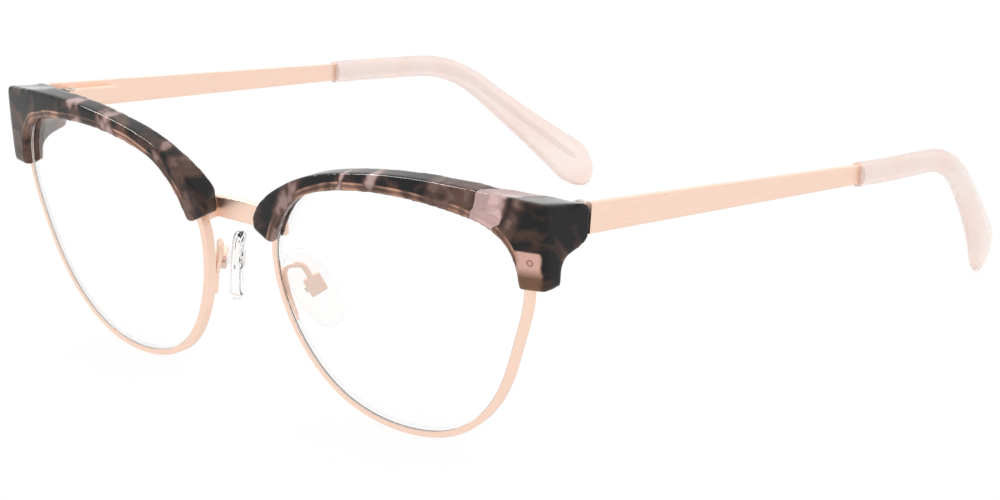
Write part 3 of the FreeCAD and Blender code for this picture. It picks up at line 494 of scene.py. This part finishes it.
    def make(self) -> bpy.types.Material:
        """Builds the material.

        Returns:
            The finished material.
        """
        material, tree = new_material(self.name)
        where = object_place(tree)
        parts = add_node(tree, "ShaderNodeSeparateXYZ", {0: where}).outputs
        up = parts["Z"]
        out = calculate(tree, "ABSOLUTE", parts["X"])
        wander = noise(tree, where, self.smoke_mm, detail=3.0)
        shift = calculate(tree, "ADD", wander, -NOISE_MIDDLE)
        moved = calculate(tree, "MULTIPLY_ADD", shift, 2 * self.wander_mm * MM, out)
        blocks = self.block_share(tree, where, moved, up)
        leg = self.leg_share(tree, moved, up)
        smoke = noise(tree, where, self.swirl_mm, detail=4.0, distortion=self.swirl)
        dark = ramp(tree, smoke, list(zip(self.brown_levels, (linear(self.charcoal), linear(self.brown)))))
        # Painted glint: bright coppery lines along the lens, painted over the dark sheet.
        dark_with_painted_glint = blend(tree, self.painted_rim_glint(tree, out, up, smoke), dark, linear(self.painted_glint_copper))
        tint = ramp(tree, blocks, list(zip(self.tint_levels, (linear(self.mauve), linear(self.rose)))))
        sheet = blend(tree, rescale(tree, blocks, (0.0, self.cover_level)), dark_with_painted_glint, tint)
        colour = blend(tree, leg, sheet, self.leg_colour(tree, out, up))
        cloudy = rescale(tree, blocks, end=(0.0, self.block_clearness))
        window = calculate(tree, "MULTIPLY", leg, self.leg_clearness)
        clear = calculate(tree, "MAXIMUM", cloudy, window)
        wave = noise(tree, where, self.wave_mm, detail=1.0)
        close_principled(tree, {
            "Base Color": colour, "Roughness": self.roughness, "IOR": self.ior,
            "Specular IOR Level": self.gloss, "Transmission Weight": clear,
            "Normal": relief(tree, wave, self.wave_strength, self.wave_depth_mm)})
        return material


@dataclass(frozen=True)
class SatinRoseMetal:
    """Nickel-silver wire and strip, satin-brushed and plated in pale rose gold.

    The brush leaves hair lines along the strip, so the sheen is soft and a little streaky, never a mirror.
    """

    name: str = "satin_rose_gold_plate"
    colour: str = "#ffe2d0"
    shade: str = "#fad8c4"
    tone_levels: Span = (0.3, 0.6)
    roughness: Span = (0.37, 0.5)
    hair_mm: float = 0.07
    hair_length: float = 40.0
    hair_depth_mm: float = 0.004
    hair_strength: float = 0.1

    def make(self) -> bpy.types.Material:
        """Builds the material.

        Returns:
            The finished material.
        """
        material, tree = new_material(self.name)
        where = object_place(tree)
        stretch = (1.0, 1.0 / self.hair_length, 1.0)
        hair = add_node(tree, "ShaderNodeMapping", {"Vector": where, "Scale": stretch}).outputs[0]
        lines = noise(tree, hair, self.hair_mm, detail=2.0)
        tone = ramp(tree, lines, list(zip(self.tone_levels, (linear(self.shade), linear(self.colour)))))
        close_principled(tree, {
            "Base Color": tone, "Metallic": 1.0, "Roughness": rescale(tree, lines, end=self.roughness),
            "Normal": relief(tree, lines, self.hair_strength, self.hair_depth_mm)})
        return material


@dataclass(frozen=True)
class ScrewSteel:
    """Stainless screw steel, cold headed and barrel-polished: small bright heads with a fine grain."""

    name: str = "barrelled_screw_steel"
    colour: str = "#d9cdc6"
    roughness: Span = (0.14, 0.32)
    grain_mm: float = 0.15

    def make(self) -> bpy.types.Material:
        """Builds the material.

        Returns:
            The finished material.
        """
        material, tree = new_material(self.name)
        where = object_place(tree)
        grain = noise(tree, where, self.grain_mm, detail=2.0)
        close_principled(tree, {
            "Base Color": linear(self.colour), "Metallic": 1.0,
            "Roughness": rescale(tree, grain, end=self.roughness)})
        return material


@dataclass(frozen=True)
class ClearMoulding:
    """A clear cast or moulded plastic: a lens or a nose pad.

    A lens is cast and coated, so it is a mirror-smooth clear plate. Silicone is softer and a little milky.
    """

    name: str
    colour: str
    ior: float
    roughness: float
    ripple_mm: float
    ripple_depth_mm: float
    ripple_strength: float = 0.3

    def make(self) -> bpy.types.Material:
        """Builds the material.

        Returns:
            The finished material.
        """
        material, tree = new_material(self.name)
        where = object_place(tree)
        ripple = noise(tree, where, self.ripple_mm, detail=1.0)
        close_principled(tree, {
            "Base Color": linear(self.colour), "Roughness": self.roughness, "IOR": self.ior,
            "Transmission Weight": 1.0,
            "Normal": relief(tree, ripple, self.ripple_strength, self.ripple_depth_mm)})
        return material


@dataclass(frozen=True)
class PinkAcetate:
    """Translucent pale pink acetate, moulded over the temple's core wire and polished.

    The core shows through as a faint stripe, and the thin edges glow paler than the middle.
    """

    name: str = "polished_pink_acetate"
    colour: str = "#fff2ec"
    cloud: str = "#ffeae1"
    cloud_levels: Span = (0.35, 0.65)
    cloud_mm: float = 9.0
    ior: float = 1.48
    roughness: Span = (0.14, 0.24)
    clearness: float = 0.38

    def make(self) -> bpy.types.Material:
        """Builds the material.

        Returns:
            The finished material.
        """
        material, tree = new_material(self.name)
        where = object_place(tree)
        cloud = noise(tree, where, self.cloud_mm, detail=2.0)
        tone = ramp(tree, cloud, list(zip(self.cloud_levels, (linear(self.cloud), linear(self.colour)))))
        close_principled(tree, {
            "Base Color": tone, "Roughness": rescale(tree, cloud, end=self.roughness), "IOR": self.ior,
            "Transmission Weight": self.clearness})
        return material


def paint(piece: bpy.types.Object, material: bpy.types.Material) -> None:
    """Gives a piece one material all over.

    Args:
        piece: The piece to dress.
        material: Its finish.
    """
    piece.data.materials.clear()
    piece.data.materials.append(material)
    LOG.info("%s wears %s", piece.name, material.name)


def merged_copy(node: bpy.types.Object, name: str) -> bpy.types.Object:
    """Copies a solid's mesh into a piece of its own, with its loose triangles merged.

    Args:
        node: The solid to copy.
        name: The new piece's name.

    Returns:
        The new piece, active and the only one selected.
    """
    bpy.ops.object.select_all(action="DESELECT")
    piece = bpy.data.objects.new(name, node.data.copy())
    bpy.context.scene.collection.objects.link(piece)
    bpy.context.view_layer.objects.active = piece
    piece.select_set(True)
    bpy.ops.object.mode_set(mode="EDIT")
    bpy.ops.mesh.select_all(action="SELECT")
    bpy.ops.mesh.remove_doubles(threshold=MERGE_MM * MM)
    bpy.ops.object.mode_set(mode="OBJECT")
    return piece


def surface_of(piece: bpy.types.Object) -> BVHTree:
    """Makes a piece's surface ready for measuring.

    Args:
        piece: The piece to measure from.

    Returns:
        The tree of its faces.
    """
    corners = [vertex.co for vertex in piece.data.vertices]
    faces = [face.vertices for face in piece.data.polygons]
    return BVHTree.FromPolygons(corners, faces)


@dataclass
class TumbledBrow:
    """One acetate brow, whose edges tumbling has rounded wherever no other piece touches it."""

    node: bpy.types.Object
    touching: list[bpy.types.Object]
    finish: bpy.types.Material
    grid_depth: int = 8
    grid_scale: float = 0.99
    skin_rounds: int = 7
    edge_rounds: int = 22
    corner_rounds: int = 90
    corner_mm: Span = (54.0, 60.0)
    clear_mm: Span = (0.1, 0.6)
    rear_mm: Span = (-65.5, -63.0)
    smooth_angle: float = 50.0

    def even_mesh(self) -> bpy.types.Object:
        """Copies the solid and rebuilds it in small, even faces.

        Returns:
            The copy, active and the only one selected.
        """
        brow = merged_copy(self.node, self.node.name.replace("brow", "tumbled_brow"))
        grid = brow.modifiers.new("even_mesh", "REMESH")
        grid.mode = "SMOOTH"
        grid.octree_depth = self.grid_depth
        grid.scale = self.grid_scale
        grid.use_remove_disconnected = False
        bpy.ops.object.modifier_apply(modifier=grid.name)
        return brow

    def tumble(self, brow: bpy.types.Object, name: str, rounds: int, share: Share) -> None:
        """Smooths the brow, each point by its own share.

        Args:
            brow: The brow's mesh.
            name: What this pass rounds.
            rounds: How often each point moves towards its neighbours.
            share: How freely a point moves, from 0 to 1.
        """
        group = brow.vertex_groups.new(name=name)
        for vertex in brow.data.vertices:
            group.add((vertex.index,), share(vertex.co), "REPLACE")
        smooth = brow.modifiers.new(name, "SMOOTH")
        smooth.vertex_group = name
        smooth.iterations = rounds
        bpy.ops.object.modifier_apply(modifier=smooth.name)

    def room(self, spot: Vector, surfaces: list[BVHTree]) -> float:
        """Measures how freely a point may move.

        Args:
            spot: The point.
            surfaces: The touching pieces' surfaces.

        Returns:
            0 beside a touching piece or at the hinge end, and 1 clear of both.
        """
        near, far = in_metres(self.clear_mm)
        open_to, kept_from = in_metres(self.rear_mm)
        gaps = (surface.find_nearest(spot, far)[3] for surface in surfaces)
        gap = min((found for found in gaps if found is not None), default=far)
        front = min(1.0, max(0.0, (kept_from - spot.y) / (kept_from - open_to)))
        return max(0.0, (gap - near) / (far - near)) * front

    def corner_room(self, spot: Vector, surfaces: list[BVHTree]) -> float:
        """Measures how freely a point of the end piece may move.

        Args:
            spot: The point.
            surfaces: The touching pieces' surfaces.

        Returns:
            The room at a point of the end piece, and 0 elsewhere.
        """
        start, end = in_metres(self.corner_mm)
        place = (abs(spot.x) - start) / (end - start)
        return 0.0 if place <= 0 else min(1.0, place) * self.room(spot, surfaces)

    def make(self) -> None:
        """Builds the rounded brow in the solid's place."""
        brow = self.even_mesh()
        surfaces = [surface_of(piece) for piece in self.touching]
        self.tumble(brow, "skin", self.skin_rounds, lambda spot: 1.0)
        self.tumble(brow, "edges", self.edge_rounds, lambda spot: self.room(spot, surfaces))
        self.tumble(brow, "end_corner", self.corner_rounds, lambda spot: self.corner_room(spot, surfaces))
        brow.vertex_groups.clear()
        bpy.ops.object.shade_smooth_by_angle(angle=math.radians(self.smooth_angle))
        paint(brow, self.finish)
        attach(brow, "front")
        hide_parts(self.node.name)
        LOG.info("%s has %d faces", brow.name, len(brow.data.polygons))


@dataclass
class Front:
    """The brows, rims, lenses, bridge and nose pads."""

    nodes: dict[str, bpy.types.Object]
    metal: bpy.types.Material
    steel: bpy.types.Material
    brows: dict[Side, bpy.types.Material]
    lens: bpy.types.Material
    pad: bpy.types.Material
    smooth_angle: float = 40.0

    def mould_pad(self, side: Side) -> None:
        """Moulds a clear pad and its clear core into one body, since no seam shows between them.

        Args:
            side: The side that the pad is on.
        """
        skin = self.nodes[side.piece("nose_pad")]
        core = self.nodes[side.piece("pad_core")]
        filling = merged_copy(core, side.piece("core_copy"))
        pad = merged_copy(skin, side.piece("clear_pad"))
        union = pad.modifiers.new("core", "BOOLEAN")
        union.operation = "UNION"
        union.object = filling
        bpy.ops.object.modifier_apply(modifier=union.name)
        bpy.data.objects.remove(filling)
        bpy.ops.object.shade_smooth_by_angle(angle=math.radians(self.smooth_angle))
        paint(pad, self.pad)
        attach(pad, side.piece("pad"))
        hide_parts(skin.name, core.name)

    def dress(self) -> None:
        """Gives each piece of the front its finish."""
        bridge = self.nodes["bridge"]
        paint(bridge, self.metal)
        for side in Side:
            touching = [self.nodes[side.piece(name)] for name in ("rim", "lens", "hinge_front", "brow_screw")]
            TumbledBrow(self.nodes[side.piece("brow")], touching + [bridge], self.brows[side]).make()
            paint(self.nodes[side.piece("lens")], self.lens)
            self.mould_pad(side)
            for name in ("rim", "pad_arm", "hinge_front"):
                paint(self.nodes[side.piece(name)], self.metal)
            for name in ("rim_screw", "brow_screw", "pad_screw", "hinge_screw"):
                paint(self.nodes[side.piece(name)], self.steel)


@dataclass
class Temples:
    """The sprung hinges' moving halves, the temple bars and their tips."""

    nodes: dict[str, bpy.types.Object]
    joints: dict[str, dict]
    metal: bpy.types.Material
    steel: bpy.types.Material
    tip: bpy.types.Material

    def coil_spring(self, side: Side) -> None:
        """Copies a hinge spring into a piece of its own that moves with its temple.

        Args:
            side: The side that the spring is on.
        """
        node = self.nodes[side.piece("hinge_spring")]
        spring = merged_copy(node, side.piece("coil_spring"))
        paint(spring, self.steel)
        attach(spring, side.piece("temple"))
        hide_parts(node.name)
        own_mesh(spring)

    def dress(self) -> None:
        """Gives each piece of the temples its finish."""
        for side in Side:
            for name in ("temple_bar", "spring_case", "spring_tongue"):
                paint(self.nodes[side.piece(name)], self.metal)
            paint(self.nodes[side.piece("spring_collar")], self.steel)
            self.coil_spring(side)
            paint(self.nodes[side.piece("temple_tip")], self.tip)


@dataclass(frozen=True)
class Softbox:
    """A rectangular cloth-fronted studio lamp, aimed at a point."""

    name: str
    place: Point
    aim: Point
    width: float
    length: float
    power: float
    lights_matt: bool = True

    def make(self) -> None:
        """Adds the lamp. A highlight card shows in gloss alone, so matt surfaces keep their level."""
        lamp = bpy.data.lights.new(self.name, "AREA")
        lamp.shape = "RECTANGLE"
        lamp.size = self.width
        lamp.size_y = self.length
        lamp.energy = self.power
        holder = bpy.data.objects.new(self.name, lamp)
        holder.location = self.place
        holder.rotation_euler = (Vector(self.aim) - Vector(self.place)).to_track_quat("-Z", "Y").to_euler()
        holder.visible_diffuse = self.lights_matt
        bpy.context.scene.collection.objects.link(holder)


TOP_SOFTBOX = Softbox("top_softbox", place=(0.0, 0.0, 1.2), aim=(0.0, 0.0, 0.0), width=1.0, length=1.0,
                      power=0.8)
HIGHLIGHT_CARD = Softbox("highlight_card", place=(-0.83, -0.42, 1.02), aim=(-0.83, -0.42, 0.0), width=1.0,
                         length=0.35, power=28.0, lights_matt=False)


@dataclass
class Studio:
    """A white sweep, a soft sky, the lamps and the camera."""

    floor_size: float = 6.0
    floor_paper: str = "#fbfbfb"
    floor_glow: float = 0.92
    sky_level: float = 1.2
    camera_place: Point = (0.30337, -0.35251, 0.14141)
    camera_right: Point = (0.74856, 0.66306, 0.0023)
    camera_up: Point = (-0.18188, 0.20201, 0.96236)
    camera_back: Point = (0.63763, -0.7208, 0.2718)
    camera_near: float = 0.01
    focal_mm: float = 94.51
    film_mm: float = 36.0
    lamps: tuple[Softbox, ...] = (TOP_SOFTBOX, HIGHLIGHT_CARD)

    def white_ray(self, tree: Tree) -> Socket:
        """Adds a test that is 1 for camera, glossy and transmission rays.

        Args:
            tree: The node tree that takes the nodes.

        Returns:
            The socket that carries the result.
        """
        path = add_node(tree, "ShaderNodeLightPath", {}).outputs
        seen = calculate(tree, "MAXIMUM", path["Is Camera Ray"], path["Is Glossy Ray"])
        return calculate(tree, "MAXIMUM", seen, path["Is Transmission Ray"])

    def make_sky(self) -> None:
        """Lights the scene with an even white sky that also shows as the background."""
        world = bpy.data.worlds.new("white_sky")
        world.use_nodes = True
        tree = world.node_tree
        tree.nodes.clear()
        level = rescale(tree, self.white_ray(tree), end=(self.sky_level, 1.0))
        glow = add_node(tree, "ShaderNodeBackground", {"Color": linear(WHITE), "Strength": level})
        add_node(tree, "ShaderNodeOutputWorld", {"Surface": glow.outputs[0]})
        bpy.context.scene.world = world

    def make_floor(self) -> None:
        """Adds the white floor, which glows to the eye and keeps a faint shadow."""
        bpy.ops.mesh.primitive_plane_add(size=self.floor_size)
        floor = bpy.context.object
        floor.name = "floor"
        material, tree = new_material("white_sweep_paper")
        paper = add_node(tree, "ShaderNodeBsdfDiffuse", {"Color": linear(self.floor_paper)}).outputs[0]
        glow = add_node(tree, "ShaderNodeEmission", {"Color": linear(WHITE), "Strength": 1.0}).outputs[0]
        share = calculate(tree, "MULTIPLY", self.white_ray(tree), self.floor_glow)
        close_material(tree, add_node(tree, "ShaderNodeMixShader", {0: share, 1: paper, 2: glow}).outputs[0])
        floor.data.materials.append(material)

    def make_camera(self) -> None:
        """Adds the camera at the catalogue view's place and angle."""
        lens = bpy.data.cameras.new("catalogue_view")
        lens.lens = self.focal_mm
        lens.sensor_width = self.film_mm
        lens.clip_start = self.camera_near
        camera = bpy.data.objects.new("catalogue_view", lens)
        axes = Matrix((self.camera_right, self.camera_up, self.camera_back)).transposed()
        camera.matrix_world = Matrix.Translation(self.camera_place) @ axes.to_4x4()
        bpy.context.scene.collection.objects.link(camera)
        bpy.context.scene.camera = camera

    def make(self) -> None:
        """Builds the studio round the glasses."""
        bpy.ops.object.select_all(action="DESELECT")
        self.make_sky()
        self.make_floor()
        for lamp in self.lamps:
            lamp.make()
        self.make_camera()
        bpy.context.scene.view_settings.view_transform = "Standard"


LEFT_BLOCKS = (
    ColourBlock(8.4, 2.2, Tone.FAINT),
    ColourBlock(16.0, 3.6, Tone.SMOKE),
    ColourBlock(26.0, 0.9, Tone.HAZE),
    ColourBlock(32.0, 2.0, Tone.HAZE),
    ColourBlock(46.2, 8.0, Tone.FAINT),
    ColourBlock(53.4, 4.2, Tone.ROSE),
    ColourBlock(57.6, 2.0, Tone.FAINT),
)
RIGHT_BLOCKS = (
    ColourBlock(13.0, 3.0, Tone.FAINT),
    ColourBlock(16.8, 1.6, Tone.SMOKE),
    ColourBlock(29.2, 3.4, Tone.HAZE),
    ColourBlock(38.0, 3.2, Tone.HAZE),
)
LEFT_ACETATE = TortoiseAcetate("polished_tortoise_acetate_left", LEFT_BLOCKS)
# The far brow's leg keeps little of the pale patch and of the painted glint.
RIGHT_ACETATE = TortoiseAcetate("polished_tortoise_acetate_right", RIGHT_BLOCKS, leg_strength=0.1,
                                leg_painted_glint=0.2)
LENS_RESIN = ClearMoulding("coated_cast_resin", WHITE, ior=1.5, roughness=0.0, ripple_mm=30.0,
                           ripple_depth_mm=0.002)
PAD_SILICONE = ClearMoulding("moulded_clear_silicone", "#fdfcfb", ior=1.41, roughness=0.04, ripple_mm=2.0,
                             ripple_depth_mm=0.02)


def main() -> None:
    """Dresses the glasses and sets up the studio."""
    logging.basicConfig(level=logging.INFO)
    Studio().make()
    nodes = frame["nodes"]
    joints = {joint["name"]: joint for joint in frame["record"]["behaviour"]["joints"]}
    metal = SatinRoseMetal().make()
    steel = ScrewSteel().make()
    brows = {Side.LEFT: LEFT_ACETATE.make(), Side.RIGHT: RIGHT_ACETATE.make()}
    Front(nodes, metal, steel, brows, LENS_RESIN.make(), PAD_SILICONE.make()).dress()
    Temples(nodes, joints, metal, steel, PinkAcetate().make()).dress()


if __name__ == "__main__":
    main()
